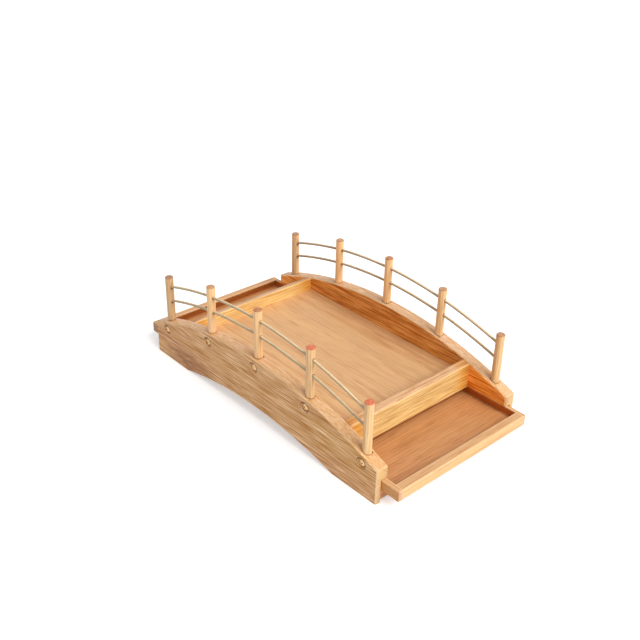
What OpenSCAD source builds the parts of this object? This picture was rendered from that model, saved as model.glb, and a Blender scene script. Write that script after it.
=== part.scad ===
// Wooden sushi bridge: two arched side boards with a post-and-rod railing, a sunken serving deck
// between them, and a shallow tray that slides out under each end.
// The origin is on the ground at the middle; +X runs along the bridge, +Z is up.

/* [Side boards] */
// Length of each side board
board_l = 374; // [350:1:400]
// Overall width across the two side boards
body_w = 206; // [180:1:240]
// Thickness of a side board
board_t = 15; // [13.5:0.5:20]
// Height of a side board at the middle
board_mid_h = 75; // [70:0.5:85]
// Height of a side board at its ends
board_end_h = 40; // [37:0.5:46]
// Length of each flat foot
foot_l = 61; // [50:1:80]
// Height of the arch between the feet
arch_h = 16; // [8:0.5:20]
// Radius of the eased edges along the top of a side board
board_ease = 2; // [0.8:0.1:2.5]
// Chamfer of the upright edges at the ends of a side board
board_chamfer = 1.2; // [0.4:0.1:2]

/* [Deck] */
// Height of the serving surface above the ground
deck_z = 43.5; // [41:0.5:50]
// Thickness of the deck panel
deck_t = 8; // [5:0.5:9]
// Depth of the housing that holds the deck in each side board
deck_housing = 5; // [3:0.5:7]
// Distance from the back of a tray forward to the inner face of the riser over it
riser_forward = 7.5; // [3:0.5:20]
// Thickness of a riser
riser_t = 10; // [8:0.5:12]
// Chamfer along the top edges of a riser
riser_chamfer = 1.2; // [0.4:0.1:2]

/* [Railing] */
// Distance from an end of a side board to the middle of its outer post
post_from_end = 22; // [19:0.5:35]
// Diameter of a post
post_d = 9.5; // [8:0.5:10.5]
// Height of a post above the side board
post_h = 57; // [50:1:80]
// Depth that a post goes into the side board
post_seat = 15; // [14:0.5:16]
// Chamfer of the ends of a post
post_chamfer = 0.7; // [0.3:0.1:1.5]
// Diameter of a rod
rod_d = 3; // [2:0.1:4]
// Height of the upper rod above the side board
rod_upper_h = 44; // [36:0.5:48]
// Height of the lower rod above the side board
rod_lower_h = 26; // [12:0.5:32]
// Depth that a rod goes into an outer post
rod_seat = 6; // [4:0.5:7]

/* [Post screws] */
// Distance from the top of the side board down to a screw
screw_drop = 11; // [9:0.5:12]
// Diameter of a screw head
screw_head_d = 8; // [6:0.1:8.5]
// Diameter of a screw shank
screw_shank_d = 3.5; // [2.5:0.1:4]
// Overall length of a screw
screw_l = 9; // [7:0.5:9.5]
// Diameter of the counterbore over a screw head
screw_bore_d = 10.5; // [9.5:0.1:12]
// Depth of the counterbore over a screw head
screw_sink = 1.8; // [0.5:0.1:2.2]

/* [Trays] */
// Length of a tray from its back to its front
tray_l = 92; // [84:1:100]
// Distance that a pushed-in tray stands out past the side boards
tray_out = 23; // [15:1:35]
// Height of a tray
tray_h = 13; // [12:0.5:14]
// Thickness of a tray side
tray_side_t = 6; // [5:0.5:8]
// Thickness of the front rail of a tray
tray_front_t = 10; // [8:0.5:14]
// Thickness of the back rail of a tray
tray_back_t = 8; // [6:0.5:12]
// Thickness of the tray floor
tray_floor_t = 5; // [3.5:0.5:5.5]
// Distance from the underside of a tray up to the underside of its floor
tray_floor_up = 0.5; // [0.2:0.1:0.8]
// Depth of the groove that holds the tray floor
tray_groove = 2.5; // [1.5:0.5:3.5]
// Radius of the eased edges along the top and the bottom of a tray
tray_ease = 2.6; // [0.5:0.1:3]
// Radius of the two front corners of a tray, seen from above
tray_corner = 4; // [1:0.5:5]

/* [Tray guides] */
// Thickness of the side board left beside a tray
guide_wall = 6; // [5:0.5:7]
// Radius of the edge over a tray, along the inner face of a side board
guide_ease = 2.5; // [1:0.5:4]
// Height of the base board above the ground
base_z = 2.2; // [1:0.1:4]
// Thickness of a base board
base_t = 11; // [10:0.5:12]
// Distance from the end of the side boards back to the base board
base_set_back = 1; // [0:0.5:4]

/* [Dowels] */
// Diameter of a frame dowel
dowel_d = 5; // [4:0.5:6]
// Depth of a dowel in the ends of a cross board
dowel_in_cross = 14; // [8:1:20]
// Depth of a dowel in the side board behind a riser
dowel_in_board = 8; // [5:0.5:10]
// Depth of a dowel in the thin side wall beside a tray
dowel_in_wall = 3.5; // [2:0.5:4]
// Diameter of a tray dowel
tray_dowel_d = 3.5; // [2.5:0.5:4]
// Depth of a tray dowel in a tray side
tray_dowel_in_side = 3.5; // [2:0.5:4]
// Depth of a tray dowel in the end of a rail
tray_dowel_in_rail = 9; // [6:0.5:12]

/* [Fits] */
// Gap all round a glued pin, post or rod in its hole
fit_gap = 0.1; // [0.05:0.05:0.2]
// Gap between a tray and the side walls that guide it
tray_side_gap = 0.5; // [0.3:0.1:0.8]
// Gap under a tray, above the base board
tray_under_gap = 0.3; // [0.2:0.1:0.5]
// Gap over a tray, below the side board
tray_over_gap = 0.7; // [0.4:0.1:1]
// Gap behind a pushed-in tray
tray_stop_gap = 0.3; // [0.2:0.1:1]

/* [Hidden] */
$fn = 64;
big_fn = 360;
small_fn = 32;
post_count = 5;
near = -1;
far = 1;
left = -1;
right = 1;

// How far a cut runs past the surface that it opens
overrun = 5;

// Side boards: faces, top arc and arch
outer_y = body_w / 2;
inner_y = outer_y - board_t;
wall_y = outer_y - guide_wall;
board_end_x = board_l / 2;
top_rise = board_mid_h - board_end_h;
arc_r = (board_end_x ^ 2 + top_rise ^ 2) / (2 * top_rise);
arc_z = board_mid_h - arc_r;
arch_half_l = board_end_x - foot_l;
arch_r = (arch_half_l ^ 2 + arch_h ^ 2) / (2 * arch_h);
function top_z(x) = arc_z + sqrt(arc_r ^ 2 - x ^ 2);

// Posts, counted from the left, and the slope of the arc at each of them
post_y = outer_y - board_t / 2;
post_pitch = 2 * (board_end_x - post_from_end) / (post_count - 1);
function post_x(i) = (i - (post_count - 1) / 2) * post_pitch;
function slope(x) = asin(x / arc_r);
post_end_x = post_x(post_count - 1);

// Screws: the countersunk head is a right-angled cone
screw_head_h = (screw_head_d - screw_shank_d) / 2;
screw_tip_h = screw_shank_d;

// Tray and guide levels, from the ground up
tray_z = base_z + base_t + tray_under_gap;
guide_top_z = tray_z + tray_h + tray_over_gap;
tray_floor_z = tray_z + tray_floor_up;
tray_y = wall_y - tray_side_gap;
tray_inner_y = tray_y - tray_side_t;
tray_front_x = board_end_x + tray_out;
tray_back_x = tray_front_x - tray_l;
guide_back_x = tray_back_x - tray_stop_gap;

// Cross boards
riser_x = tray_back_x + riser_forward;
riser_mid_x = riser_x + riser_t / 2;
riser_end_x = riser_x + riser_t;
deck_under_z = deck_z - deck_t;
riser_under_z = guide_top_z;
base_end_x = board_end_x - base_set_back;
base_mid_z = base_z + base_t / 2;

// Dowel places: two in each end of a riser, two in each end of a base board
riser_dowel_low_z = (riser_under_z + deck_under_z) / 2;
riser_dowel_high_z = deck_z + dowel_d;
base_dowel_back_x = guide_back_x + (base_end_x - guide_back_x) / 4;
base_dowel_front_x = base_end_x - (base_end_x - guide_back_x) / 4;
tray_dowel_z = (tray_floor_z + tray_floor_t + tray_z + tray_h) / 2;

board_colour = [0.76, 0.60, 0.42];
cross_colour = [0.93, 0.71, 0.45];
deck_colour = [0.80, 0.58, 0.42];
post_colour = [0.91, 0.72, 0.53];
rod_colour = [0.72, 0.60, 0.45];
tray_colour = [0.93, 0.73, 0.49];
floor_colour = [0.82, 0.60, 0.46];
dowel_colour = [0.85, 0.70, 0.52];
screw_colour = [0.80, 0.62, 0.32];

// Puts what is drawn for the far side, or the right end, on the given side and end
module on_side(side) {
    if (side == near) mirror([0, 1, 0]) children();
    else children();
}
module at_end(end) {
    if (end == left) mirror([1, 0, 0]) children();
    else children();
}

// A box given by its lowest and highest corners
module block(low, high) translate(low) cube(high - low);

// A round bar along Y, from the first to the second place
module bar_y(x, z, d, y_from, y_to) {
    translate([x, y_from, z]) rotate([-90, 0, 0]) cylinder(d = d, h = y_to - y_from);
}

// A flat outline with its corners rounded, from its lowest to its highest corner
module rounded_outline(low, high, r) {
    difference() {
        translate(low) square(high - low);
        for (x = [low.x, high.x], y = [low.y, high.y]) {
            inward_x = x == low.x ? r : -r;
            inward_y = y == low.y ? r : -r;
            difference() {
                translate([x, y]) square(2 * r, center = true);
                translate([x + inward_x, y + inward_y]) circle(r);
            }
        }
    }
}

// The far side board before it is cut: a slice of a wide disc whose rim is eased on both faces
module board_blank() {
    intersection() {
        translate([0, outer_y, arc_z]) rotate([90, 0, 0]) rotate_extrude($fn = big_fn)
            difference() {
                square([arc_r, board_t]);
                for (edge = [0, board_t]) {
                    inward = edge == 0 ? board_ease : -board_ease;
                    difference() {
                        translate([arc_r, edge]) square(2 * board_ease, center = true);
                        translate([arc_r - board_ease, edge + inward]) circle(board_ease);
                    }
                }
            }
        linear_extrude(board_mid_h + overrun) board_plan();
    }
}

// The length of the board from above, with its end corners cut off
module board_plan() {
    cut_x = board_end_x - board_chamfer - overrun;
    right_end = [[cut_x, inner_y - overrun], [board_end_x, inner_y + board_chamfer],
                 [board_end_x, outer_y - board_chamfer], [cut_x, outer_y + overrun]];
    polygon(concat(right_end, [for (i = [3:-1:0]) [-right_end[i].x, right_end[i].y]]));
}

module side_board(side) {
    on_side(side) color(board_colour) difference() {
        board_blank();
        // the arch under the board
        translate([0, inner_y - overrun, arch_h - arch_r]) rotate([-90, 0, 0])
            cylinder(r = arch_r, h = board_t + 2 * overrun, $fn = big_fn);
        // the stopped guide for a tray at each end
        for (end = [left, right]) at_end(end) {
            block([guide_back_x, inner_y - overrun, -overrun],
                  [board_end_x + overrun, wall_y, guide_top_z]);
            // the eased edge over the tray, in front of the riser
            translate([riser_end_x, 0, 0]) rotate([90, 0, 90])
                linear_extrude(board_end_x + overrun - riser_end_x) difference() {
                    translate([inner_y, guide_top_z]) square(2 * guide_ease, center = true);
                    translate([inner_y + guide_ease, guide_top_z + guide_ease]) circle(guide_ease);
                }
        }
        // the housing for the deck
        block([-riser_x, inner_y - overrun, deck_under_z], [riser_x, inner_y + deck_housing, deck_z]);
        // a blind hole for each post, and its screw hole from the outer face
        for (i = [0:post_count - 1]) {
            translate([post_x(i), post_y, top_z(post_x(i)) - post_seat])
                cylinder(d = post_d + 2 * fit_gap, h = post_seat + board_mid_h);
            screw_hole(i);
        }
        // blind holes for the dowels of the cross boards
        for (end = [left, right]) at_end(end) {
            for (z = [riser_dowel_low_z, riser_dowel_high_z])
                bar_y(riser_mid_x, z, dowel_d + 2 * fit_gap, inner_y - overrun, inner_y + dowel_in_board);
            for (x = [base_dowel_back_x, base_dowel_front_x])
                bar_y(x, base_mid_z, dowel_d + 2 * fit_gap, wall_y - overrun, wall_y + dowel_in_wall);
        }
    }
}

module deck_panel() {
    housed_y = inner_y + deck_housing - fit_gap;
    color(deck_colour) block([-riser_x, -housed_y, deck_under_z], [riser_x, housed_y, deck_z]);
}

// A riser spans the side boards, and its top is planed to the arc
module riser(end) {
    slant = [[riser_x, riser_chamfer], [riser_x + riser_chamfer, 0],
             [riser_end_x - riser_chamfer, 0], [riser_end_x, riser_chamfer]];
    at_end(end) color(cross_colour) difference() {
        translate([0, inner_y, 0]) rotate([90, 0, 0]) linear_extrude(2 * inner_y)
            polygon(concat([[riser_end_x, riser_under_z], [riser_x, riser_under_z]],
                           [for (p = slant) [p.x, top_z(p.x) - p.y]]));
        for (side = [near, far], z = [riser_dowel_low_z, riser_dowel_high_z]) on_side(side)
            bar_y(riser_mid_x, z, dowel_d + 2 * fit_gap, inner_y - dowel_in_cross, inner_y + overrun);
    }
}

// A base board spans the thin side walls and carries the tray
module base_board(end) {
    at_end(end) color(cross_colour) difference() {
        block([guide_back_x, -wall_y, base_z], [base_end_x, wall_y, base_z + base_t]);
        for (side = [near, far], x = [base_dowel_back_x, base_dowel_front_x]) on_side(side)
            bar_y(x, base_mid_z, dowel_d + 2 * fit_gap, wall_y - dowel_in_cross, wall_y + overrun);
    }
}

module frame_dowels() {
    color(dowel_colour) for (side = [near, far], end = [left, right]) on_side(side) at_end(end) {
        for (z = [riser_dowel_low_z, riser_dowel_high_z])
            bar_y(riser_mid_x, z, dowel_d, inner_y - dowel_in_cross, inner_y + dowel_in_board);
        for (x = [base_dowel_back_x, base_dowel_front_x])
            bar_y(x, base_mid_z, dowel_d, wall_y - dowel_in_cross, wall_y + dowel_in_wall);
    }
}

// A turned post, bored for both rods along the arc: right through, or blind in an outer post
module post(side, i) {
    x = post_x(i);
    r = post_d / 2;
    post_l = post_seat + post_h;
    outward = sign(x);
    is_outer = i == 0 || i == post_count - 1;
    on_side(side) color(post_colour) difference() {
        translate([x, post_y, top_z(x) - post_seat]) rotate_extrude()
            polygon([[0, 0], [r - post_chamfer, 0], [r, post_chamfer], [r, post_l - post_chamfer],
                     [r - post_chamfer, post_l], [0, post_l]]);
        for (h = [rod_lower_h, rod_upper_h])
            translate([x, post_y, top_z(x) + h]) rotate([0, slope(x), 0])
                translate([is_outer ? outward * (rod_seat - r + fit_gap) : post_d, 0, 0])
                    rotate([0, (is_outer ? outward : 1) * -90, 0])
                        cylinder(d = rod_d + 2 * fit_gap, h = 2 * post_d);
        screw_hole(i);
    }
}

// A rod follows the arc of the side board from one outer post to the other
module rail_rod(side, height) {
    half_turn = slope(post_end_x) + (rod_seat - post_d / 2) / arc_r * 180 / PI;
    on_side(side) color(rod_colour) translate([0, post_y, arc_z + height]) rotate([90, 0, 0])
        rotate([0, 0, 90 - half_turn]) rotate_extrude(angle = 2 * half_turn, $fn = big_fn)
            translate([arc_r, 0]) circle(d = rod_d, $fn = small_fn);
}

// Places its child at a screw of the far side board, with +Z pointing out of the board
module at_screw(i) {
    x = post_x(i);
    translate([x, outer_y, top_z(x) - screw_drop]) rotate([-90, 0, 0]) children();
}

// The hole from the face of the board into the post: a counterbore, then a countersink for the head
module screw_hole(i) {
    bore_r = screw_bore_d / 2;
    head_r = screw_head_d / 2 + fit_gap;
    r = screw_shank_d / 2 + fit_gap;
    bottom = -screw_sink - screw_l - fit_gap;
    at_screw(i) rotate_extrude()
        polygon([[0, overrun], [bore_r, overrun], [bore_r, -screw_sink], [head_r, -screw_sink],
                 [r, -screw_sink - screw_head_h], [r, bottom], [0, bottom]]);
}

module post_screws(side) {
    r = screw_shank_d / 2;
    tip = screw_l - screw_tip_h;
    on_side(side) color(screw_colour) for (i = [0:post_count - 1]) at_screw(i)
        translate([0, 0, -screw_sink]) rotate_extrude()
            polygon([[0, 0], [screw_head_d / 2, 0], [r, -screw_head_h], [r, -tip], [0, -screw_l]]);
}

// The outer shape of a whole tray, eased after assembly; its parts are cut out of it
module tray_envelope() {
    back = tray_back_x - 2 * tray_corner;
    top = tray_z + tray_h;
    intersection() {
        linear_extrude(top + overrun) rounded_outline([back, -tray_y], [tray_front_x, tray_y], tray_corner);
        translate([0, outer_y, 0]) rotate([90, 0, 0]) linear_extrude(body_w)
            rounded_outline([back, tray_z], [tray_front_x, top], tray_ease);
        rotate([90, 0, 90]) linear_extrude(tray_front_x + overrun)
            rounded_outline([-tray_y, tray_z], [tray_y, top], tray_ease);
    }
}

// The space of the tray floor, which is also the groove round it
module tray_floor_space(gap) {
    back = tray_back_x + tray_back_t - tray_groove + gap;
    front = tray_front_x - tray_front_t + tray_groove - gap;
    half_w = tray_inner_y + tray_groove - gap;
    block([back, -half_w, tray_floor_z], [front, half_w, tray_floor_z + tray_floor_t]);
}

// The four dowels of a tray, or their holes when a gap is given
module tray_dowel_bars(gap) {
    for (side = [near, far], x = [tray_back_x + tray_back_t / 2, tray_front_x - tray_front_t / 2])
        on_side(side) bar_y(x, tray_dowel_z, tray_dowel_d + 2 * gap,
                            tray_inner_y - tray_dowel_in_rail, tray_inner_y + tray_dowel_in_side);
}

module tray_side(end, side) {
    at_end(end) on_side(side) color(tray_colour) difference() {
        intersection() {
            tray_envelope();
            block([tray_back_x, tray_inner_y, 0], [tray_front_x + overrun, outer_y, board_mid_h]);
        }
        tray_floor_space(0);
        tray_dowel_bars(fit_gap);
    }
}

module tray_rail(end, from_x, to_x) {
    at_end(end) color(tray_colour) difference() {
        intersection() {
            tray_envelope();
            block([from_x, -tray_inner_y, 0], [to_x, tray_inner_y, board_mid_h]);
        }
        tray_floor_space(0);
        tray_dowel_bars(fit_gap);
    }
}

module tray_front_rail(end) tray_rail(end, tray_front_x - tray_front_t, tray_front_x + overrun);

module tray_back_rail(end) tray_rail(end, tray_back_x, tray_back_x + tray_back_t);

module tray_floor(end) at_end(end) color(floor_colour) tray_floor_space(fit_gap);

module tray_dowels(end) at_end(end) color(dowel_colour) tray_dowel_bars(0);

side_board(near);  // side_board_near
side_board(far);  // side_board_far
deck_panel();
riser(left);  // riser_left
riser(right);  // riser_right
base_board(left);  // base_board_left
base_board(right);  // base_board_right
frame_dowels();
for (i = [0:post_count - 1]) {
    post(near, i);
    post(far, i);
}
rail_rod(near, rod_upper_h);  // rail_rod_near_upper
rail_rod(near, rod_lower_h);  // rail_rod_near_lower
rail_rod(far, rod_upper_h);  // rail_rod_far_upper
rail_rod(far, rod_lower_h);  // rail_rod_far_lower
post_screws(near);  // post_screws_near
post_screws(far);  // post_screws_far
tray_front_rail(left);  // tray_left_front_rail
tray_back_rail(left);  // tray_left_back_rail
tray_side(left, near);  // tray_left_side_near
tray_side(left, far);  // tray_left_side_far
tray_floor(left);  // tray_left_floor
tray_dowels(left);  // tray_left_dowels
tray_front_rail(right);  // tray_right_front_rail
tray_back_rail(right);  // tray_right_back_rail
tray_side(right, near);  // tray_right_side_near
tray_side(right, far);  // tray_right_side_far
tray_floor(right);  // tray_right_floor
tray_dowels(right);  // tray_right_dowels
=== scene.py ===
import math

import bmesh
import bpy
from mathutils import Matrix, Vector


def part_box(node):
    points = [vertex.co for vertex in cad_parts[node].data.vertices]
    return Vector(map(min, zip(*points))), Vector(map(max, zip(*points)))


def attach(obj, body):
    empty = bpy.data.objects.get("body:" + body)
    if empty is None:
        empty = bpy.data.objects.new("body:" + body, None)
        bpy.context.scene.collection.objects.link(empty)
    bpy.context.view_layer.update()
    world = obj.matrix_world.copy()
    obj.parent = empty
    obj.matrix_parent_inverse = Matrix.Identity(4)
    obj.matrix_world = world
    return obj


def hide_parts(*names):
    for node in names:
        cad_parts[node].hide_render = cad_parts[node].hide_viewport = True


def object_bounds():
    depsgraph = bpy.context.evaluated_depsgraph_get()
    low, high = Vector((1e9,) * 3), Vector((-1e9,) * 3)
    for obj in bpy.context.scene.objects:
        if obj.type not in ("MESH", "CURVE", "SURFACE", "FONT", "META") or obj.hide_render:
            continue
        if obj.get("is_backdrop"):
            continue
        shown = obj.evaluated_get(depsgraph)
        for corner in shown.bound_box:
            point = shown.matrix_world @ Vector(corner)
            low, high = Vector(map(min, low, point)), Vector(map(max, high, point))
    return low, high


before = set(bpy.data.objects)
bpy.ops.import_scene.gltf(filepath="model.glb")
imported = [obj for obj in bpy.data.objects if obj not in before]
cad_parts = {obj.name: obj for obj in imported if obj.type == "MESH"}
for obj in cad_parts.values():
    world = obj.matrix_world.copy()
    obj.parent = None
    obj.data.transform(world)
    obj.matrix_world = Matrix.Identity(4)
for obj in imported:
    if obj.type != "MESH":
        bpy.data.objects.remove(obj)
cad_low, cad_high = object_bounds()

# Side boards. Each is one wide plank of pale wood, bandsawn to two arcs and left with a flat foot
# at each end. A router cuts the stopped rebates for the trays and the housing for the deck. The top
# is painted paler for the light from above, the outer face a darker tan for its shade, and the
# inner face a warm orange for the light that bounces between the boards.
ARC_RADIUS = 0.51706
ARC_CENTRE = -0.44206
SWATCH_GAMMA = 2.2


def tone(red, green, blue):
    """A colour as a finisher's swatch card gives it, from 0 to 255."""
    return tuple((c / 255) ** SWATCH_GAMMA for c in (red, green, blue)) + (1.0,)


def put(tree, kind, inputs=None, **settings):
    """Adds a shader node, with its settings and with each input set or wired."""
    node = tree.nodes.new(kind)
    for key, value in settings.items():
        setattr(node, key, value)
    for key, value in (inputs or {}).items():
        if isinstance(value, bpy.types.NodeSocket):
            tree.links.new(value, node.inputs[key])
        else:
            node.inputs[key].default_value = value
    return node


def sums(tree, operation, *values, clamp=False):
    """One arithmetic step between numbers."""
    return put(tree, "ShaderNodeMath", dict(enumerate(values)), operation=operation,
               use_clamp=clamp).outputs[0]


def between(tree, share, low, high):
    """Goes evenly from low to high as the share goes from 0 to 1."""
    return sums(tree, "MULTIPLY_ADD", share, high - low, low)


def ramp(tree, value, low, high, start=0.0, end=1.0):
    """Goes smoothly from start to end as the value goes from low to high."""
    return put(tree, "ShaderNodeMapRange", {0: value, 1: low, 2: high, 3: start, 4: end},
               interpolation_type="SMOOTHSTEP").outputs[0]


def steps(tree, operation, *values):
    """One arithmetic step between points."""
    return put(tree, "ShaderNodeVectorMath", dict(enumerate(values)),
               operation=operation).outputs[0]


def gauge(tree, operation, *values):
    """A number read off points, such as a length or a distance."""
    return put(tree, "ShaderNodeVectorMath", dict(enumerate(values)),
               operation=operation).outputs["Value"]


def axes(tree, point):
    """The three coordinates of a point."""
    return put(tree, "ShaderNodeSeparateXYZ", {"Vector": point}).outputs


def noise(tree, point, stretch, detail=2.0):
    """Soft noise from 0 to 1 with the given number of waves a metre along each axis."""
    waves = steps(tree, "MULTIPLY", point, stretch)
    return put(tree, "ShaderNodeTexNoise",
               {"Vector": waves, "Scale": 1, "Detail": detail}).outputs["Fac"]


def blend_tones(tree, share, first, second, way="MIX"):
    """One colour laid over another."""
    return put(tree, "ShaderNodeMix", {0: share, 6: first, 7: second}, data_type="RGBA",
               blend_type=way).outputs[2]


def group_of(name, takes, gives):
    """An empty node group with named inputs and outputs."""
    tree = bpy.data.node_groups.new(name, "ShaderNodeTree")
    for label, kind, value in takes:
        socket = tree.interface.new_socket(label, in_out="INPUT", socket_type="NodeSocket" + kind)
        socket.default_value = value
    for label, kind in gives:
        tree.interface.new_socket(label, in_out="OUTPUT", socket_type="NodeSocket" + kind)
    return tree, put(tree, "NodeGroupInput").outputs, put(tree, "NodeGroupOutput")


# the figure of sawn wood: growth rings round a far-off pith, finer lines between them, long fibres,
# short dark pores, and here and there a browner patch where a ring was cut at a low angle
PATCH_FROM, PATCH_FULL = 0.55, 0.7
PORE_FROM, PORE_FULL = 0.66, 0.74
RING_JOIN = 0.35
RING_DARKNESS = ((0.14, 0.0), (0.55, 0.15), (0.9, 1.0))
FINE_LINES_A_RING, FINE_LINE_DEPTH = 3.7, 0.22
PORE_DEPTH = 0.35
FLECK_DEPTH = 1.9
DARK_STREAK_DEPTH, DARK_STREAK = 2.2, tone(206, 170, 132)
PALE_STREAK_HUE, PALE_STREAK_FADE = 0.018, -0.18
BROAD_HUE, BROAD_LIGHT = 0.02, 0.2
SMOOTHEST, LATE_ROUGHER, FUZZ_ROUGHER = 0.36, 0.1, 0.16
FUZZ_RISE, PORE_DROP, LATE_DROP = 0.4, 0.8, 0.4
grain, given, result = group_of(
    "wood_grain",
    [("Point", "Vector", (0, 0, 0)), ("Ring Gap", "Float", 0.003), ("Wander", "Float", 0.004),
     ("Early Wood", "Color", tone(230, 185, 130)), ("Late Wood", "Color", tone(190, 135, 85)),
     ("Contrast", "Float", 0.6), ("Fibre", "Float", 0.2), ("Patches", "Float", 0.3)],
    [("Color", "Color"), ("Roughness", "Float"), ("Height", "Float")])
point = given["Point"]
drift = sums(grain, "SUBTRACT", noise(grain, point, (2, 24, 24)), 0.5)
broad = noise(grain, point, (2.5, 30, 30))
patch = ramp(grain, noise(grain, point, (8, 60, 60), 5.0), PATCH_FROM, PATCH_FULL)
fibre = noise(grain, point, (8, 620, 620), 3.0)
flecks = noise(grain, point, (34, 760, 760), 4.0)
pores = ramp(grain, noise(grain, point, (45, 1250, 1250), 0.0), PORE_FROM, PORE_FULL)
fuzz = noise(grain, point, (60, 2600, 2600), 1.0)

from_pith = gauge(grain, "LENGTH", steps(grain, "MULTIPLY", point, (0, 1, 1)))
radial = sums(grain, "MULTIPLY_ADD", drift, given["Wander"], from_pith)
ring_count = sums(grain, "DIVIDE", radial, given["Ring Gap"])
ring_share = put(grain, "ShaderNodeValToRGB", {"Fac": sums(grain, "FRACT", ring_count)})
for ring_side in ring_share.color_ramp.elements:
    ring_side.color = (RING_JOIN, RING_JOIN, RING_JOIN, 1)
for place, level in RING_DARKNESS:
    ring_share.color_ramp.elements.new(place).color = (level, level, level, 1)
ring_mood = put(grain, "ShaderNodeTexWhiteNoise", {"W": sums(grain, "FLOOR", ring_count)},
                noise_dimensions="1D").outputs["Value"]
fine_lines = sums(grain, "PINGPONG", sums(grain, "MULTIPLY", ring_count, FINE_LINES_A_RING), 1.0)
late = sums(grain, "MULTIPLY", ring_share.outputs["Color"], between(grain, ring_mood, 0.25, 1.0))
late = sums(grain, "MULTIPLY_ADD", fine_lines, FINE_LINE_DEPTH, late)
late = sums(grain, "MULTIPLY", late, between(grain, broad, 0.4, 1.4))
late = sums(grain, "MULTIPLY", late, given["Contrast"], clamp=True)

wood = blend_tones(grain, late, given["Early Wood"], given["Late Wood"])
patch = sums(grain, "MULTIPLY", patch, given["Patches"])
wood = blend_tones(grain, patch, wood, given["Late Wood"], "MULTIPLY")
dark_pores = sums(grain, "MULTIPLY", pores, PORE_DEPTH)
wood = blend_tones(grain, dark_pores, wood, given["Late Wood"], "MULTIPLY")
mood = sums(grain, "SUBTRACT", broad, 0.5)
fibre_off, fleck_off = (sums(grain, "SUBTRACT", strands, 0.5) for strands in (fibre, flecks))
streaky = sums(grain, "MULTIPLY_ADD", fleck_off, FLECK_DEPTH, fibre_off)
streaky = sums(grain, "MULTIPLY", streaky, given["Fibre"])
dark = sums(grain, "MULTIPLY", streaky, -DARK_STREAK_DEPTH, clamp=True)
wood = blend_tones(grain, dark, wood, DARK_STREAK, "MULTIPLY")
bright = sums(grain, "MAXIMUM", streaky, 0)
hue = sums(grain, "MULTIPLY_ADD", bright, PALE_STREAK_HUE,
           sums(grain, "MULTIPLY_ADD", mood, BROAD_HUE, 0.5))
light = sums(grain, "ADD", bright, sums(grain, "MULTIPLY_ADD", mood, BROAD_LIGHT, 1.0))
wood = put(grain, "ShaderNodeHueSaturation", {
    "Hue": hue, "Saturation": sums(grain, "MULTIPLY_ADD", streaky, PALE_STREAK_FADE, 1.0),
    "Value": light, "Color": wood}).outputs["Color"]
rough = sums(grain, "MULTIPLY_ADD", fuzz, FUZZ_ROUGHER,
             sums(grain, "MULTIPLY_ADD", late, LATE_ROUGHER, SMOOTHEST))
rise = sums(grain, "MULTIPLY_ADD", fuzz, FUZZ_RISE, fibre)
drop = sums(grain, "MULTIPLY_ADD", pores, PORE_DROP, sums(grain, "MULTIPLY", late, LATE_DROP))
grain.links.new(wood, result.inputs["Color"])
grain.links.new(rough, result.inputs["Roughness"])
grain.links.new(sums(grain, "SUBTRACT", rise, drop), result.inputs["Height"])

# how near a point is to an arris, from its distances to three pairs of faces: there it is painted
# paler, a painted highlight and the polish of hands both
arris_group, given, result = group_of(
    "arris_sheen_and_wear",
    [("Distances", "Vector", (0, 0, 0)), ("Point", "Vector", (0, 0, 0)),
     ("Reach", "Float", 0.0018)],
    [("Mask", "Float")])
first, second, third = axes(arris_group, given["Distances"])
second_nearest = sums(arris_group, "MAXIMUM", sums(arris_group, "MINIMUM", first, second),
                      sums(arris_group, "MINIMUM", sums(arris_group, "MAXIMUM", first, second), third))
patchy = noise(arris_group, given["Point"], (190, 190, 190), 3.0)
reach = sums(arris_group, "MULTIPLY", given["Reach"], between(arris_group, patchy, 0.3, 1.7))
on_edge = ramp(arris_group, sums(arris_group, "DIVIDE", second_nearest, reach), 0.3, 1.0, 1.0, 0.0)
arris_group.links.new(on_edge, result.inputs["Mask"])

GRAIN_TURNS = {"X": (0, 0, 0), "Y": (0, 0, -math.pi / 2), "Z": (0, math.pi / 2, 0)}
GRAIN_WAYS = {"X": (1, 0, 0), "Y": (0, 1, 0), "Z": (0, 0, 1)}
SIDE_GRAIN, END_GRAIN, END_GRAIN_FIBRE = 0.12, 0.5, 0.2
# how far a face turns to one of its listed ways before it takes that way's tone; most of these
# tones are painted light and shade
TURNED_AWAY, TURNED_TO = 0.45, 0.85
GRAIN_DEPTH = 0.0003
ARRIS_SHEEN_SHARE, EDGE_SMOOTHER = 0.55, -0.1


def bare_material(name):
    """A material with nothing in it yet, and its node tree."""
    material = bpy.data.materials.new(name)
    material.use_nodes = True
    material.node_tree.nodes.clear()
    return material, material.node_tree


def finish_with(tree, shader):
    """Makes that shader the finish of a material."""
    tree.links.new(shader.outputs[0], put(tree, "ShaderNodeOutputMaterial").inputs[0])


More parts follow.
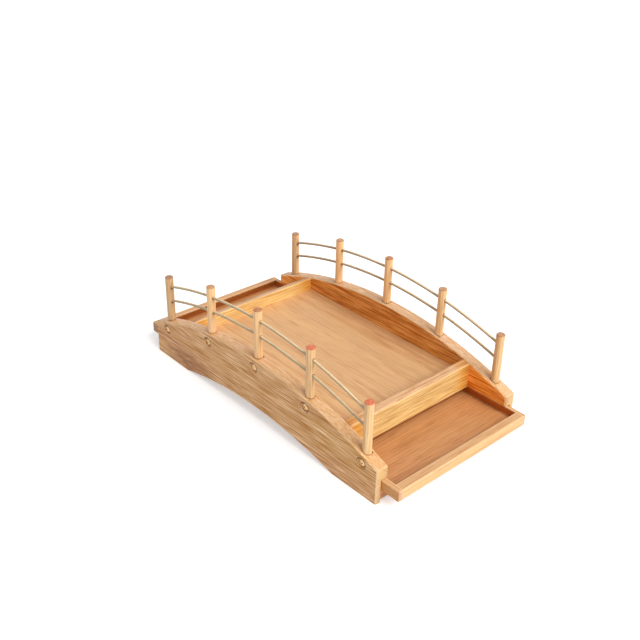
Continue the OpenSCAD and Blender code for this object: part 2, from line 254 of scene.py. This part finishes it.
def wood_finish(name, early, late, pith, ring, along="X", wander=0.004, contrast=0.6, fibre=0.2,
                patches=0.25, faces=(), marks=None, distances=None, lit_edge=None, coat=0.12,
                relief=0.35):
    """A clear-finished wood for one piece, with its own cut from the log, painted light and shade
    by the way each of its faces turns, and paler arrises that are painted highlight and hand wear
    both."""
    material, tree = bare_material(name)
    place = put(tree, "ShaderNodeTexCoord")
    point, facing = place.outputs["Object"], place.outputs["Normal"]
    spot = put(tree, "ShaderNodeMapping", {"Vector": point, "Rotation": GRAIN_TURNS[along]})
    figure = put(tree, "ShaderNodeGroup", node_tree=grain)
    tree.links.new(steps(tree, "SUBTRACT", spot.outputs[0], pith), figure.inputs["Point"])
    for key, value in {"Ring Gap": ring, "Wander": wander, "Early Wood": early, "Late Wood": late,
                       "Contrast": contrast, "Patches": patches}.items():
        figure.inputs[key].default_value = value
    end_on = sums(tree, "ABSOLUTE", gauge(tree, "DOT_PRODUCT", facing, GRAIN_WAYS[along]))
    tree.links.new(ramp(tree, end_on, SIDE_GRAIN, END_GRAIN, fibre, END_GRAIN_FIBRE * fibre),
                   figure.inputs["Fibre"])
    colour, height = figure.outputs["Color"], figure.outputs["Height"]
    # each face is tinted towards the tone listed for the way it turns to; most of these tints are
    # painted light and shade by facing
    for way, wanted in faces:
        share = ramp(tree, gauge(tree, "DOT_PRODUCT", facing, way), TURNED_AWAY, TURNED_TO)
        painted_facing_light = tuple(w / e for w, e in zip(wanted[:3], early[:3])) + (1.0,)
        colour = blend_tones(tree, share, colour, painted_facing_light, "MULTIPLY")
    if marks:
        colour, height = marks(tree, point, colour, height)
    rough = figure.outputs["Roughness"]
    if distances:
        worn = put(tree, "ShaderNodeGroup", node_tree=arris_group)
        tree.links.new(distances(tree, point), worn.inputs["Distances"])
        tree.links.new(point, worn.inputs["Point"])
        # the arrises are painted paler: part painted highlight, part real wear
        paler_arris = sums(tree, "MULTIPLY", worn.outputs["Mask"], ARRIS_SHEEN_SHARE)
        colour = blend_tones(tree, paler_arris, colour, lit_edge)
        rough = sums(tree, "MULTIPLY_ADD", worn.outputs["Mask"], EDGE_SMOOTHER, rough)
    bump = put(tree, "ShaderNodeBump",
               {"Height": height, "Strength": relief, "Distance": GRAIN_DEPTH})
    finish_with(tree, put(tree, "ShaderNodeBsdfPrincipled", {
        "Base Color": colour, "Roughness": rough, "Normal": bump.outputs[0],
        "Coat Weight": coat, "Coat Roughness": 0.28, "Specular IOR Level": 0.35}))
    return material


WELD_GAP = 2e-6
FLAT_TURN, ARRIS_TURN, SMOOTH_TURN = math.radians(0.4), math.radians(28), math.radians(38)
SHORTEST_ARRIS = 0.0035
ROUNDING_STEPS = 3
BIG_FACE_WEIGHT = 80


def set_down(name, data):
    """A new object in the scene."""
    thing = bpy.data.objects.new(name, data)
    bpy.context.scene.collection.objects.link(thing)
    return thing


def eased_piece(node, ease, material, body="bridge"):
    """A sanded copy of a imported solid: its flat faces are joined up and its arrises taken off."""
    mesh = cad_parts[node].data.copy()
    work = bmesh.new()
    work.from_mesh(mesh)
    bmesh.ops.remove_doubles(work, verts=work.verts, dist=WELD_GAP)
    bmesh.ops.dissolve_limit(work, angle_limit=FLAT_TURN, verts=work.verts, edges=work.edges)
    arrises = [e for e in work.edges if len(e.link_faces) == 2
               and e.calc_length() > SHORTEST_ARRIS and e.calc_face_angle() > ARRIS_TURN]
    bmesh.ops.bevel(work, geom=arrises, offset=ease, offset_type="OFFSET",
                    segments=ROUNDING_STEPS, profile=0.5, affect="EDGES", clamp_overlap=True)
    work.to_mesh(mesh)
    work.free()
    mesh.materials.clear()
    mesh.materials.append(material)
    mesh.shade_smooth()
    mesh.set_sharp_from_angle(angle=SMOOTH_TURN)
    piece = set_down("made_" + node, mesh)
    even = piece.modifiers.new("flat_faces", "WEIGHTED_NORMAL")
    even.keep_sharp = True
    even.weight = BIG_FACE_WEIGHT
    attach(piece, body)
    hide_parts(node)


def to_faces(tree, point, low, high):
    """Distances from a point to the nearer face of each pair of a squared piece."""
    return steps(tree, "MINIMUM", steps(tree, "SUBTRACT", point, tuple(low)),
                 steps(tree, "SUBTRACT", tuple(high), point))


def from_arc_centre(tree, point):
    """How far a point is from the line that the top arc of the boards is struck round."""
    off_centre = steps(tree, "SUBTRACT", point, (0, 0, ARC_CENTRE))
    return gauge(tree, "LENGTH", steps(tree, "MULTIPLY", off_centre, (1, 0, 1)))


def arched_distances(low, high):
    """Distances to a piece's side faces and ends, and to the arc that its top is cut to."""
    def found(tree, point):
        to_sides = axes(tree, to_faces(tree, point, low, high))
        to_top = sums(tree, "SUBTRACT", ARC_RADIUS, from_arc_centre(tree, point))
        return put(tree, "ShaderNodeCombineXYZ",
                   {0: to_sides[0], 1: to_sides[1], 2: to_top}).outputs[0]
    return found


POST_NUMBERS = range(1, 6)
POST_HEIGHT = 0.057
POST_LINE = (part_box("post_far_3")[0].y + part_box("post_far_3")[1].y) / 2
POST_JOINT_RADIUS = 0.0049
SCREW_DROP = 0.011
BORE_RADIUS, RIM_SHADOW_REACH = 0.00525, 0.004
SHADOW_LEAN = Vector((0.0006, 0, 0.0012))
BAY_START, INNER_FACE = 0.13, 0.088
HEART_PLACE, HEART_SPREAD = (-0.12, 0, 0.012), (1 / 0.052, 0, 1 / 0.016)
HEARTWOOD, RIM_SHADOW, DARK_JOINT = tone(196, 162, 120), tone(92, 42, 6), tone(104, 54, 20)
LIGHT_PAST_RISER = (1.5, 1.5, 1.5, 1)
TOP_LIGHT_TONE = {"near": tone(230, 176, 122), "far": tone(234, 186, 140)}


def screw_place(side, number):
    """Where the screw of a post enters the outer face of its side board."""
    low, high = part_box(f"post_{side}_{number}")
    return Vector(((low.x + high.x) / 2, cad_low.y if side == "near" else cad_high.y,
                   high.z - POST_HEIGHT - SCREW_DROP))


def nearest_off(tree, point, places, plane):
    """The distance in a plane to the nearest of the places."""
    nearest = 1.0
    for spot in places:
        off = steps(tree, "MULTIPLY", steps(tree, "SUBTRACT", point, tuple(spot)), plane)
        nearest = sums(tree, "MINIMUM", gauge(tree, "LENGTH", off), nearest)
    return nearest


def board_marks(side):
    """Painted light on the inner face beyond each riser, where the riser casts no shade, a low
    streak of brown heartwood, a painted paler top, painted shadow crescents at the screw holes, and
    dark joints round the posts."""
    holes = [screw_place(side, number) for number in POST_NUMBERS]
    shadow_centres = [hole - SHADOW_LEAN for hole in holes]

    def marked(tree, point, colour, height):
        far_out = axes(tree, steps(tree, "ABSOLUTE", point))
        from_centre = from_arc_centre(tree, point)
        # painted light: the inner face beyond each riser, out of its shade, is made lighter
        lit_past_riser = sums(tree, "MULTIPLY",
                     ramp(tree, far_out[0], BAY_START, BAY_START + 0.006),
                     ramp(tree, far_out[1], INNER_FACE + 0.0003, INNER_FACE + 0.0008, 1.0, 0.0))
        colour = blend_tones(tree, lit_past_riser, colour, LIGHT_PAST_RISER, "MULTIPLY")

        from_heart = gauge(tree, "LENGTH", steps(
            tree, "MULTIPLY", steps(tree, "SUBTRACT", point, HEART_PLACE), HEART_SPREAD))
        fleck = ramp(tree, noise(tree, point, (90, 420, 420), 4.0), 0.34, 0.62, 0.35, 1.0)
        streak = sums(tree, "MULTIPLY", ramp(tree, from_heart, 0.3, 1.15, 1.0, 0.0), fleck)
        colour = blend_tones(tree, streak, colour, HEARTWOOD, "MULTIPLY")

        # painted light: the top of the board is made paler for the light that falls on it from
        # above
        sanded = ramp(tree, from_centre, ARC_RADIUS - 0.0016, ARC_RADIUS - 0.0005, 0.0, 0.55)
        colour = blend_tones(tree, sanded, colour, TOP_LIGHT_TONE[side])

        # painted shadow: a dark crescent on the upper right of each screw hole's rim, as the rim's
        # own shadow
        outer = ramp(tree, far_out[1], cad_high.y - RIM_SHADOW_REACH - 0.0005,
                     cad_high.y - RIM_SHADOW_REACH)
        round_holes = ramp(tree, nearest_off(tree, point, holes, (1, 0, 1)),
                           BORE_RADIUS + 0.0006, BORE_RADIUS + 0.0018, 1.0, 0.0)
        off_shadow_centre = ramp(tree, nearest_off(tree, point, shadow_centres, (1, 0, 1)),
                        BORE_RADIUS, BORE_RADIUS + 0.0008)
        rim_shadow_break = ramp(tree, noise(tree, point, (700, 700, 700), 3.0), 0.35, 0.6, 0.75, 1.0)
        crescent_shade = sums(tree, "MULTIPLY", round_holes, off_shadow_centre)
        crescent_shade = sums(tree, "MULTIPLY", sums(tree, "MULTIPLY", crescent_shade, rim_shadow_break), outer)
        colour = blend_tones(tree, crescent_shade, colour, RIM_SHADOW)

        off_post = put(tree, "ShaderNodeCombineXYZ", {
            0: nearest_off(tree, point, holes, (1, 0, 0)),
            1: sums(tree, "SUBTRACT", far_out[1], POST_LINE)}).outputs[0]
        joint = sums(tree, "MULTIPLY",
                     ramp(tree, gauge(tree, "LENGTH", off_post), POST_JOINT_RADIUS,
                          POST_JOINT_RADIUS + 0.0007, 0.6, 0.0),
                     ramp(tree, from_centre, ARC_RADIUS - 0.003, ARC_RADIUS - 0.002))
        return blend_tones(tree, joint, colour, DARK_JOINT), height
    return marked


UP, DOWN = Vector((0, 0, 1)), Vector((0, 0, -1))
LEFTWARD, RIGHTWARD = Vector((-1, 0, 0)), Vector((1, 0, 0))
TO_NEAR, TO_FAR = Vector((0, -1, 0)), Vector((0, 1, 0))
BOARD_EASE = 0.0006
for side, outward, pith in (
        ("near", TO_NEAR, (0.3, -0.27, -0.17)), ("far", TO_FAR, (-0.2, 0.26, -0.19))):
    board_wood = wood_finish(
        f"board_{side}", early=tone(244, 162, 80), late=tone(198, 117, 52),
        lit_edge=tone(246, 206, 154), pith=pith, ring=0.0024, wander=0.006, contrast=0.78,
        fibre=1.12, patches=0.35, marks=board_marks(side),
        # tones by facing: the tan outer face is painted shade, the orange inner face painted bounce
        # light, the paler top painted light from above
        faces=((outward, tone(225, 171, 109)), (-outward, tone(230, 155, 75)),
               (UP, tone(245, 197, 145)), (LEFTWARD, tone(232, 193, 136)),
               (RIGHTWARD, tone(232, 193, 136)), (DOWN, tone(226, 170, 116))),
        distances=arched_distances(*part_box(f"side_board_{side}")))
    eased_piece(f"side_board_{side}", BOARD_EASE, board_wood)

# Deck panel. A flat panel glued up from narrow staves, planed level and slid into the housings of
# the side boards, so only its top and its underside show. The joints between the staves are fine
# dark lines.
STAVE = 0.0372
STAVES_TO_THE_EDGE = 10
SEAM_FROM, SEAM_FULL, SEAM_DEPTH = 0.490, 0.4965, 0.5
GLUE_LINE = tone(140, 84, 44)
DECK_EASE = 0.0004


def stave_seams(tree, point, colour, height):
    """Glue lines along the panel, and each stave a little lighter or darker than the next."""
    across = axes(tree, point)[1]
    count = sums(tree, "DIVIDE", sums(tree, "ADD", across, STAVES_TO_THE_EDGE * STAVE), STAVE)
    mood = put(tree, "ShaderNodeTexWhiteNoise", {"W": sums(tree, "FLOOR", count)},
               noise_dimensions="1D").outputs["Value"]
    colour = put(tree, "ShaderNodeHueSaturation", {
        "Value": between(tree, mood, 0.92, 1.08), "Color": colour}).outputs[0]
    off_line = sums(tree, "ABSOLUTE", sums(tree, "SUBTRACT", sums(tree, "FRACT", count), 0.5))
    line = ramp(tree, off_line, SEAM_FROM, SEAM_FULL)
    colour = blend_tones(tree, sums(tree, "MULTIPLY", line, SEAM_DEPTH), colour, GLUE_LINE)
    return colour, sums(tree, "SUBTRACT", height, line)


deck_wood = wood_finish(
    "deck_wood_clear", early=tone(222, 175, 124), late=tone(191, 130, 81),
    pith=(0, 0.02, -0.2), ring=0.0034, contrast=0.5, fibre=0.22, marks=stave_seams)
eased_piece("deck_panel", DECK_EASE, deck_wood)

# Risers and base boards. Short crosspieces of a warmer yellow wood, dowelled and glued between the
# side boards. The risers close the ends of the deck and are planed to the arc, and the base boards
# lie just off the table and carry the trays.
HIDDEN_END = Vector((0, 0.02, 0))
BOUNCE_FROM, BOUNCE_FULL, BOUNCE_WANDER = 0.068, 0.092, 0.016
BOUNCE_ORANGE = (0.95, 0.72, 0.36, 1)
CROSS_EASE = 0.0006


def all_edges(low, high):
    """Distances to the six faces of a squared piece."""
    return lambda tree, point: to_faces(tree, point, low, high)


def open_edges(low, high):
    """The same for a crosspiece whose two ends are buried in joints, where they don't wear."""
    return all_edges(low - HIDDEN_END, high + HIDDEN_END)


def bounce_lit_ends(tree, point, colour, height):
    """The last few centimetres of a riser, painted a warmer orange for the light that the orange
    inner faces of the side boards throw back onto it.
    """
    far_out = axes(tree, steps(tree, "ABSOLUTE", point))[1]
    patchy = noise(tree, point, (60, 25, 200), 3.0)
    ragged = sums(tree, "MULTIPLY_ADD", patchy, BOUNCE_WANDER, far_out)
    # painted reflected light near each side board
    bounce_share = ramp(tree, ragged, BOUNCE_FROM, BOUNCE_FULL)
    return blend_tones(tree, bounce_share, colour, BOUNCE_ORANGE, "MULTIPLY"), height


for end, shift in (("left", 0.09), ("right", -0.12)):
    low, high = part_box(f"riser_{end}")
    riser_wood = wood_finish(
        f"riser_{end}", early=tone(230, 195, 127), late=tone(206, 142, 72),
        lit_edge=tone(238, 200, 144), along="Y", pith=(0.1, shift, 0.21), ring=0.0036,
        # the pinker top tone is painted light from above
        faces=((UP, tone(215, 171, 127)),), contrast=0.7, fibre=0.7, marks=bounce_lit_ends,
        distances=arched_distances(low - HIDDEN_END, high + HIDDEN_END))
    eased_piece(f"riser_{end}", CROSS_EASE, riser_wood)
    base_wood = wood_finish(
        f"base_board_{end}", early=tone(226, 162, 102), late=tone(190, 118, 62),
        lit_edge=tone(240, 190, 140), along="Y", pith=(0.1, -shift, -0.16), ring=0.0042,
        distances=open_edges(*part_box(f"base_board_{end}")))
    eased_piece(f"base_board_{end}", CROSS_EASE, base_wood)

# Frame dowels. Smooth hidden pins of pale birch, glued half into a crosspiece and half into a side
# board, so nothing of them shows once the frame is up.
dowel_wood = wood_finish(
    "dowel_birch", early=tone(228, 196, 150), late=tone(204, 164, 116), along="Y",
    pith=(0, 0.3, 0.2), ring=0.002, fibre=0.15)


def birch_pins(node):
    """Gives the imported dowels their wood."""
    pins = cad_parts[node].data
    pins.materials.clear()
    pins.materials.append(dowel_wood)


birch_pins("frame_dowels")

# Railing posts. Round turned posts of pale peach wood, ten in all, stood in blind holes in the
# arched edges and bored through for the two rods. Their sawn tops are sealed with a thin reddish
# stain, which has faded on most of them.
POST_RADIUS, POST_EASE = 0.00475, 0.0003
ROD_HEIGHTS = (0.026, 0.044)
ROD_RIM_RADIUS = 0.0017
PEACH, PEACH_LATE = (245, 202, 149), (216, 158, 104)
POST_SHADES = {"near": (0.87, 1.02, 1.02, 0.96, 0.98), "far": (0.93, 1.02, 1.02, 1.01, 0.98)}
TOP_STAINS = {"red": tone(236, 139, 123), "rose": tone(190, 152, 140), "faded": tone(199, 178, 180)}
STAINED_TOPS = {"near": ("faded", "faded", "rose", "red", "red"),
                "far": ("faded", "faded", "rose", "faded", "faded")}
FOOT_SHADE, ROD_HOLE_SHADE = tone(120, 70, 36), tone(112, 66, 34)


def post_finish(side, foot, number):
    """Pale turned wood with a stained top, painted contact shade at its foot and a painted shade
    round each drilled hole.
    """
    shade, stain = POST_SHADES[side][number - 1], TOP_STAINS[STAINED_TOPS[side][number - 1]]
    early, late = (tone(*(shade * c for c in swatch)) for swatch in (PEACH, PEACH_LATE))
    pith = (0.2, foot.y + 0.03, foot.x + 0.05 + 0.01 * number)

    def marked(tree, point, colour, height):
        ragged = sums(tree, "SUBTRACT", noise(tree, point, (900, 900, 900)), 0.5)
        level = sums(tree, "MULTIPLY_ADD", ragged, 0.0007, axes(tree, point)[2])
        top = foot.z + POST_HEIGHT
        stained = sums(tree, "MULTIPLY", ramp(tree, level, top - 0.0016, top - 0.0008),
                       ramp(tree, noise(tree, point, (420, 420, 420), 3.0), 0.3, 0.6, 0.7, 1.0))
        colour = blend_tones(tree, stained, colour, stain, "MULTIPLY")
        # painted contact shade at the foot of the post, where it stands in the board
        at_foot = ramp(tree, from_arc_centre(tree, point), ARC_RADIUS + 0.0002,
                       ARC_RADIUS + 0.0013, 0.5, 0.0)
        colour = blend_tones(tree, at_foot, colour, FOOT_SHADE)
        undrilled = {1: -1, 5: 1}.get(number)
        for rod in ROD_HEIGHTS:
            for way in (-1, 1):
                if way == undrilled:
                    continue
                # painted shade round the mouth of each rod hole
                hole = foot + Vector((way * POST_RADIUS, 0, rod))
                rim = ramp(tree, gauge(tree, "DISTANCE", point, hole), ROD_RIM_RADIUS,
                           ROD_RIM_RADIUS + 0.0009, 0.7, 0.0)
                colour = blend_tones(tree, rim, colour, ROD_HOLE_SHADE)
        return colour, height

    return wood_finish(f"post_{side}_{number}_wood", early=early, late=late, along="Z", pith=pith,
                       ring=0.0021, wander=0.003, patches=0.4, fibre=0.35, marks=marked, coat=0.08)


for side in ("near", "far"):
    for number in POST_NUMBERS:
        node = f"post_{side}_{number}"
        low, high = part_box(node)
        foot = Vector(((low.x + high.x) / 2, (low.y + high.y) / 2, high.z - POST_HEIGHT))
        eased_piece(node, POST_EASE, post_finish(side, foot, number))

# Rails. Four thin rods of split and rounded cane, bent to the arc of the boards. Their tops are
# painted pale for the light from above and their undersides a smoky brown for their shade. Each
# runs through the three middle posts and ends in a blind hole in the outer two.
cane = wood_finish(
    "rod_cane", early=tone(184, 158, 122), late=tone(150, 124, 92), pith=(0, 0.02, 0.6),
    ring=0.0011, wander=0.002, contrast=0.3, fibre=0.1, patches=0.2, coat=0.2, relief=0.08,
    # painted light and shade: pale on top, smoky brown underneath
    faces=((UP, tone(236, 208, 166)), (DOWN, tone(100, 86, 66))))
ROD_EASE = 0.0002
for side in ("near", "far"):
    for level in ("upper", "lower"):
        eased_piece(f"rail_rod_{side}_{level}", ROD_EASE, cane)

# Post screws. Small brass screws with a countersunk head that is rounded on top and has a cross
# recess, driven from the outer faces into the posts at the bottom of a drilled counterbore. They
# lock the posts, which the glue alone would let turn.
SCREW_SINK, SCREW_LENGTH = 0.0018, 0.009
HEAD_RADIUS, HEAD_RISE = 0.004, 0.0015
SHANK_RADIUS, POINT_RADIUS = 0.00175, 0.00005
THREADS, THREAD_ROOT, THREAD_TURN = 5, 0.76 * SHANK_RADIUS, math.radians(30)
ARM_REACH, ARM_HALF = 0.0023, 0.0005
RECESS_DEPTH, RECESS_DISH, RECESS_LIP = 0.0014, 0.0001, 0.00008
RIGHT_ANGLE, SPOKE_STEP = math.pi / 2, 0.45
TURN_A_SCREW = 0.7
brass, tree = bare_material("dull_brass")
spot = put(tree, "ShaderNodeTexCoord").outputs["Object"]
scuff = noise(tree, spot, (1400, 1400, 1400), 4.0)
yellow = blend_tones(tree, noise(tree, spot, (420, 420, 420)), tone(240, 208, 158),
                     tone(196, 158, 108))
bump = put(tree, "ShaderNodeBump", {"Height": scuff, "Strength": 0.2, "Distance": 0.0001})
finish_with(tree, put(tree, "ShaderNodeBsdfPrincipled", {
    "Base Color": yellow, "Metallic": 1.0, "Normal": bump.outputs[0],
    "Roughness": between(tree, scuff, 0.2, 0.5)}))


def recess_radius(angle):
    """How far the edge of the cross recess is from the middle of the head."""
    along, across = abs(math.cos(angle)), abs(math.sin(angle))
    return max(min(ARM_REACH / max(a, 1e-6), ARM_HALF / max(b, 1e-6))
               for a, b in ((along, across), (across, along)))


def crown(radius):
    """How deep the rounded face of the head lies at that radius, measured inwards from its rim."""
    ball = (HEAD_RADIUS ** 2 + HEAD_RISE ** 2) / (2 * HEAD_RISE)
    return ball - HEAD_RISE - math.sqrt(ball ** 2 - radius ** 2)


def screw_rings(angle):
    """One line down the screw, as pairs of radius and depth, from the recess round to the tip."""
    edge = recess_radius(angle)
    floor = crown(0) + RECESS_DEPTH
    line = [(0.3 * edge, floor), (0.8 * edge, floor - RECESS_DISH),
            (edge, crown(edge) + RECESS_LIP)]
    for share in (0.05, 0.25, 0.5, 0.75, 1):
        radius = edge + share * (HEAD_RADIUS - edge)
        line.append((radius, crown(radius)))
    neck = HEAD_RADIUS - SHANK_RADIUS
    tip = SCREW_LENGTH - 2 * SHANK_RADIUS
    pitch = (tip - neck) / THREADS
    for turn in range(THREADS):
        line += [(THREAD_ROOT, neck + turn * pitch), (SHANK_RADIUS, neck + (turn + 0.5) * pitch)]
    return line + [(THREAD_ROOT, tip), (POINT_RADIUS, SCREW_LENGTH)]


corner = math.atan2(ARM_HALF, ARM_REACH)
spokes = sorted({round(quarter * RIGHT_ANGLE + off, 6) for quarter in range(4) for off in (
    0, corner, SPOKE_STEP, RIGHT_ANGLE / 2, RIGHT_ANGLE - SPOKE_STEP, RIGHT_ANGLE - corner)})
rows = len(screw_rings(0))
for side, outward in (("near", -1), ("far", 1)):
    points, faces = [], []
    for number in POST_NUMBERS:
        head = screw_place(side, number) - Vector((0, outward * SCREW_SINK, 0))
        start = len(points)
        for angle in spokes:
            turned = angle + TURN_A_SCREW * number
            points += [head + Vector((r * math.cos(turned), -outward * depth, r * math.sin(turned)))
                       for r, depth in screw_rings(angle)]
        for spoke in range(len(spokes)):
            here, there = start + spoke * rows, start + (spoke + 1) % len(spokes) * rows
            faces += [(here + r, there + r, there + r + 1, here + r + 1) for r in range(rows - 1)]
        faces.append([start + spoke * rows for spoke in range(len(spokes))])
    mesh = bpy.data.meshes.new(f"screws_{side}")
    mesh.from_pydata(points, [], faces)
    work = bmesh.new()
    work.from_mesh(mesh)
    bmesh.ops.recalc_face_normals(work, faces=work.faces)
    work.to_mesh(mesh)
    work.free()
    mesh.materials.append(brass)
    mesh.shade_smooth()
    mesh.set_sharp_from_angle(angle=THREAD_TURN)
    screws = set_down(f"made_post_screws_{side}", mesh)
    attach(screws, "bridge")
    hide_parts(f"post_screws_{side}")

# Trays. Each is a shallow frame of four eased rails of warm yellow wood round a thin browner floor,
# which sits in a groove. The rails are pinned with small dowels at the corners, and the whole tray
# slides out from under the end of the bridge.
RAIL_EASE, FLOOR_EASE = 0.0004, 0.0003
MARGIN_FULL, MARGIN_END, MARGIN_WANDER = 0.0045, 0.0105, 0.003
WELL_MARGIN_SHADE = tone(190, 150, 120)
# tones by facing: the pinker rail tops are painted light from above, the undersides and the faces
# inside the well painted shade; the end tone is the end grain's own
RAIL_TOP_LIGHT, RAIL_UNDERSIDE_SHADE, RAIL_END = tone(220, 174, 123), tone(214, 156, 104), tone(226, 175, 137)
FRONT_WELL_SHADE, BACK_WELL_SHADE, SIDE_WELL_SHADE = tone(148, 84, 31), tone(135, 74, 25), tone(200, 112, 40)


def shaded_well(low, high):
    """The margin of a tray floor, painted darker beside the rails as the shade of the well."""
    def marked(tree, point, colour, height):
        gap = axes(tree, to_faces(tree, point, low, high))
        closest = sums(tree, "MINIMUM", gap[0], gap[1])
        patchy = noise(tree, point, (90, 90, 90), 3.0)
        ragged = sums(tree, "MULTIPLY_ADD", patchy, MARGIN_WANDER, closest)
        # painted shade along the rails
        darkened = ramp(tree, ragged, MARGIN_FULL, MARGIN_END, 0.75, 0.0)
        return blend_tones(tree, darkened, colour, WELL_MARGIN_SHADE, "MULTIPLY"), height
    return marked


# the outer faces of the side rails are painted darker on the left tray, which stands further from
# the lamp, than on the right
for end, outward, outer_face_light in (
        ("left", LEFTWARD, tone(176, 128, 90)), ("right", RIGHTWARD, tone(212, 151, 89))):
    body = f"tray_{end}"
    rails = {"front_rail": ("Y", (0.1, 0.16, -0.25), -outward, FRONT_WELL_SHADE),
             "back_rail": ("Y", (0.2, 0.12, -0.27), outward, BACK_WELL_SHADE),
             "side_near": ("X", (0.4, -0.23, -0.14), TO_FAR, SIDE_WELL_SHADE),
             "side_far": ("X", (0.4, 0.23, -0.15), TO_NEAR, SIDE_WELL_SHADE)}
    for part, (along, pith, inward, well_shade) in rails.items():
        node = f"tray_{end}_{part}"
        low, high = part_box(node)
        faces = [(UP, RAIL_TOP_LIGHT), (inward, well_shade), (DOWN, RAIL_UNDERSIDE_SHADE)]
        if along == "X":
            faces += [(-inward, outer_face_light), (LEFTWARD, RAIL_END), (RIGHTWARD, RAIL_END)]
        rail_wood = wood_finish(
            f"{node}_wood", early=tone(233, 190, 131), late=tone(210, 140, 80),
            lit_edge=tone(244, 204, 160), along=along, pith=pith, ring=0.0026, faces=faces,
            distances=open_edges(low, high) if along == "Y" else all_edges(low, high))
        eased_piece(node, RAIL_EASE, rail_wood, body)
    node = f"tray_{end}_floor"
    floor_wood = wood_finish(
        f"{node}_wood", early=tone(202, 143, 93), late=tone(171, 107, 63), along="Y",
        pith=(0.2, 0.2, -0.25), ring=0.0032, contrast=0.45, fibre=0.26,
        marks=shaded_well(*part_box(node)))
    eased_piece(node, FLOOR_EASE, floor_wood, body)
    birch_pins(f"tray_{end}_dowels")

# Table. A plain matt white surface that the bridge stands on. It glows a little where it is seen,
# so that it shows as white and carries only the soft shadow of the bridge.
TABLE_REACH = 4
TABLE_GLOW = 0.48
table_mesh = bpy.data.meshes.new("table")
table_mesh.from_pydata(
    [(x * TABLE_REACH, y * TABLE_REACH, 0) for x, y in ((-1, -1), (1, -1), (1, 1), (-1, 1))],
    [], [(0, 1, 2, 3)])
table = set_down("table", table_mesh)


def seen_directly(tree):
    """1 for rays from the camera, in a reflection or through glass, and 0 for light on its way."""
    ray = put(tree, "ShaderNodeLightPath").outputs
    return sums(tree, "MAXIMUM", ray["Is Camera Ray"],
                sums(tree, "MAXIMUM", ray["Is Glossy Ray"], ray["Is Transmission Ray"]))


white, tree = bare_material("table_white")
finish_with(tree, put(tree, "ShaderNodeBsdfPrincipled", {
    "Base Color": (0.8, 0.8, 0.8, 1), "Roughness": 0.9, "Specular IOR Level": 0.1,
    "Emission Color": (1, 1, 1, 1),
    "Emission Strength": sums(tree, "MULTIPLY", seen_directly(tree), TABLE_GLOW)}))
table_mesh.materials.append(white)
table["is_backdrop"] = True

# Light. A white room that lights everything dimly, and a wide soft lamp far off, out past the
# right-hand end and above it. Where the room itself is seen, it is plain white.
ROOM_LIGHT, LAMP_LIGHT, LAMP_WIDTH = 0.43, 2.8, math.radians(40)
world = bpy.data.worlds.new("white_room")
bpy.context.scene.world = world
world.use_nodes = True
tree = world.node_tree
tree.nodes.clear()
room = put(tree, "ShaderNodeBackground", {
    "Color": (1, 1, 1, 1), "Strength": between(tree, seen_directly(tree), ROOM_LIGHT, 1.0)})
tree.links.new(room.outputs[0], put(tree, "ShaderNodeOutputWorld").inputs[0])
lamp = bpy.data.lights.new("soft_lamp", "SUN")
lamp.energy, lamp.angle = LAMP_LIGHT, LAMP_WIDTH
shines = Vector((-0.7, -0.06, -0.7))
set_down("soft_lamp", lamp).rotation_euler = shines.to_track_quat("-Z", "Y").to_euler()

# Camera. Placed as for the photograph, a little above and in front of the right-hand end. Its
# angles, place and lens were fitted to the outline of the bridge.
azimuth, elevation, roll = math.radians(47.754), math.radians(29.457), math.radians(1.199)
stand = Vector((0.64975, -0.59951, 0.58373))
back = Vector((math.sin(azimuth) * math.cos(elevation), -math.cos(azimuth) * math.cos(elevation),
               math.sin(elevation)))
level_right = (-back).cross(UP).normalized()
level_up = level_right.cross(-back)
right = math.cos(roll) * level_right + math.sin(roll) * level_up
up = math.cos(roll) * level_up - math.sin(roll) * level_right
lens = bpy.data.cameras.new("camera")
lens.lens, lens.sensor_width = 51.635, 36
camera = set_down("camera", lens)
camera.matrix_world = Matrix.Translation(stand) @ Matrix((right, up, back)).transposed().to_4x4()
bpy.context.scene.camera = camera
bpy.context.scene.view_settings.view_transform = "Standard"

low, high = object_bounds()
